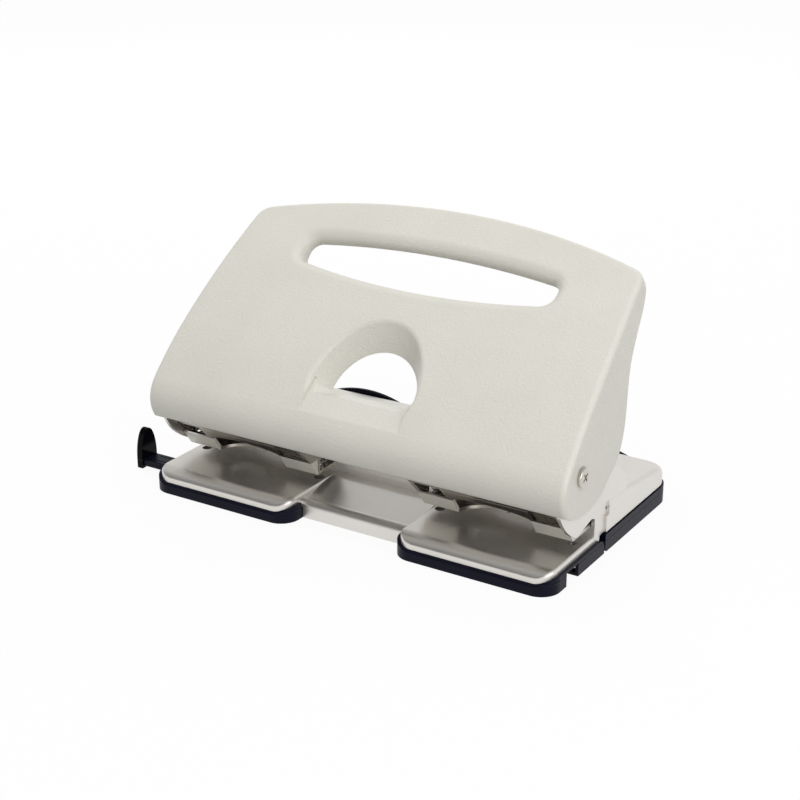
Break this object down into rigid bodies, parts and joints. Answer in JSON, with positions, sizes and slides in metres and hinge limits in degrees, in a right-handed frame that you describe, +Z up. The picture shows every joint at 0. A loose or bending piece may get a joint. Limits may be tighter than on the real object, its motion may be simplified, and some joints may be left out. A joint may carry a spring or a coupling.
{
  "type": "four-hole desk punch",
  "caption": "Desk hole punch with a wide curved lever handle, grip slot, arched window, two front tables, rear deck, chip tray and sliding paper guide.",
  "frame": {"origin": "centre of the base's footprint on the desk", "axes": "+X to the right along the punch, +Y from the paper side to the rear, +Z up"},
  "size_m": [0.29, 0.1536, 0.1542],
  "materials": {
    "grey_paint": "fine textured warm off-white powder coat",
    "black_plastic": "matte blue-black",
    "black_gloss": "glossy black",
    "zinc_steel": "zinc-plated sheet",
    "tool_steel": "ground",
    "spring_steel": "drawn wire",
    "nickel": "bright nickel plating",
    "washer_plastic": "natural nylon"
  },
  "bodies": {
    "base": {"base_plate": "grey_paint", "front_foot_left": "black_plastic", "front_foot_right": "black_plastic", "foot_screws_left": "nickel", "foot_screws_right": "nickel", "bracket_left": "zinc_steel", "bracket_right": "zinc_steel", "bracket_rivets_left": "nickel", "bracket_rivets_right": "nickel", "die_plate_left": "tool_steel", "die_plate_right": "tool_steel", "pivot_screw_left": "nickel", "pivot_screw_right": "nickel", "pivot_nut_left": "nickel", "pivot_nut_right": "nickel", "pivot_washer_left": "washer_plastic", "pivot_washer_right": "washer_plastic", "pin_spring_1": "spring_steel", "pin_spring_2": "spring_steel", "pin_spring_3": "spring_steel", "pin_spring_4": "spring_steel", "tray_pin_left": "nickel", "tray_pin_right": "nickel"},
    "handle": {"handle_shell": "grey_paint", "press_frame_left": "zinc_steel", "press_frame_right": "zinc_steel"},
    "pin_1": {"punch_pin_1": "tool_steel", "pin_clip_1": "spring_steel"},
    "pin_2": {"punch_pin_2": "tool_steel", "pin_clip_2": "spring_steel"},
    "pin_3": {"punch_pin_3": "tool_steel", "pin_clip_3": "spring_steel"},
    "pin_4": {"punch_pin_4": "tool_steel", "pin_clip_4": "spring_steel"},
    "tray": {"chip_tray": "black_plastic"},
    "guide": {"guide_bar": "black_plastic", "guide_end_stop": "black_gloss"}
  },
  "joints": [
    {"name": "handle_press", "type": "hinge", "parent": "base", "child": "handle", "pos_m": [0, -0.05155, 0.06], "axis": [-1, 0, 0], "range_deg": [0, 33], "stiffness_Nm_per_rad": 3, "springref_deg": -17.19},
    {"name": "pin_1_slide", "type": "slide", "parent": "base", "child": "pin_1", "axis": [0, 0, -1], "range_m": [0, 0.0096], "deforming": ["pin_spring_1"]},
    {"name": "pin_2_slide", "type": "slide", "parent": "base", "child": "pin_2", "axis": [0, 0, -1], "range_m": [0, 0.0096], "deforming": ["pin_spring_2"]},
    {"name": "pin_3_slide", "type": "slide", "parent": "base", "child": "pin_3", "axis": [0, 0, -1], "range_m": [0, 0.0096], "deforming": ["pin_spring_3"]},
    {"name": "pin_4_slide", "type": "slide", "parent": "base", "child": "pin_4", "axis": [0, 0, -1], "range_m": [0, 0.0096], "deforming": ["pin_spring_4"]},
    {"name": "tray_door", "type": "hinge", "parent": "base", "child": "tray", "pos_m": [0, -0.00895, 0.004], "axis": [-1, 0, 0], "range_deg": [0, 75]},
    {"name": "guide_slide", "type": "slide", "parent": "base", "child": "guide", "axis": [1, 0, 0], "range_m": [-0.068, 0.0205]}
  ],
  "couplings": [
    {"joint": "pin_1_slide", "follows": "handle_press", "m_per_rad": 0.0164},
    {"joint": "pin_2_slide", "follows": "handle_press", "m_per_rad": 0.0164},
    {"joint": "pin_3_slide", "follows": "handle_press", "m_per_rad": 0.0164},
    {"joint": "pin_4_slide", "follows": "handle_press", "m_per_rad": 0.0164}
  ]
}
